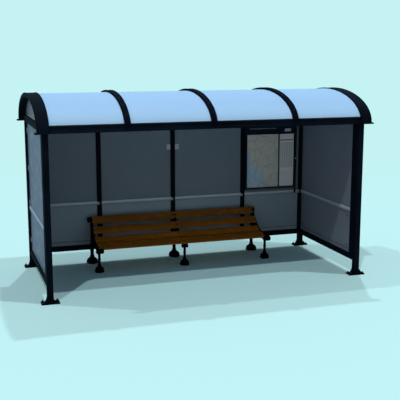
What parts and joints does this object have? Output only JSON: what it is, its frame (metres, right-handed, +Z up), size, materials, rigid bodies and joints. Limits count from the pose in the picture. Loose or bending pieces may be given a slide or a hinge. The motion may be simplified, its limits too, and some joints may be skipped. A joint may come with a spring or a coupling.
{
  "type": "bus shelter",
  "caption": "Open-fronted bus shelter with a barrel-vault roof, clouded wall panels, a slatted bench and a display case, on bolt-down feet.",
  "frame": {"origin": "on the ground, at the centre of the four corner posts", "axes": "+X runs along the shelter to the right as seen from its open front, +Y from the open front to the back wall, +Z up"},
  "size_m": [4.78, 2.196, 2.722],
  "materials": {
    "frame_paint": "semi-gloss black powder coat",
    "wall_glazing": "clouded grey sheet, satin",
    "roof_glazing": "pale blue opal sheet, satin",
    "rail_aluminium": "satin anodised",
    "bench_casting": "black painted casting",
    "bench_timber": "oiled hardwood",
    "case_paint": "satin black",
    "map_print": "printed sheet",
    "timetable_print": "printed sheet"
  },
  "bodies": {
    "root": {"back_beam": "frame_paint", "back_bottom_rail": "frame_paint", "back_left_post": "frame_paint", "back_mullion_1": "frame_paint", "back_mullion_2": "frame_paint", "back_mullion_3": "frame_paint", "back_panel_1": "wall_glazing", "back_panel_2": "wall_glazing", "back_panel_3": "wall_glazing", "back_panel_4": "wall_glazing", "back_right_post": "frame_paint", "back_waist_rail": "rail_aluminium", "bench_back_slats": "bench_timber", "bench_left_support": "bench_casting", "bench_middle_support": "bench_casting", "bench_right_support": "bench_casting", "bench_seat_slats": "bench_timber", "display_case": "case_paint", "display_header": "case_paint", "front_beam": "frame_paint", "front_left_post": "frame_paint", "front_right_post": "frame_paint", "left_bottom_rail": "frame_paint", "left_end_arch": "frame_paint", "left_front_upright": "frame_paint", "left_gable_panel": "wall_glazing", "left_top_rail": "frame_paint", "left_waist_rail": "rail_aluminium", "left_wall_panel": "wall_glazing", "map_board": "map_print", "right_bottom_rail": "frame_paint", "right_end_arch": "frame_paint", "right_front_upright": "frame_paint", "right_gable_panel": "wall_glazing", "right_top_rail": "frame_paint", "right_waist_rail": "rail_aluminium", "right_wall_panel": "wall_glazing", "roof_rib_1": "frame_paint", "roof_rib_2": "frame_paint", "roof_rib_3": "frame_paint", "roof_sheet_1": "roof_glazing", "roof_sheet_2": "roof_glazing", "roof_sheet_3": "roof_glazing", "roof_sheet_4": "roof_glazing", "timetable_board": "timetable_print"}
  },
  "joints": []
}
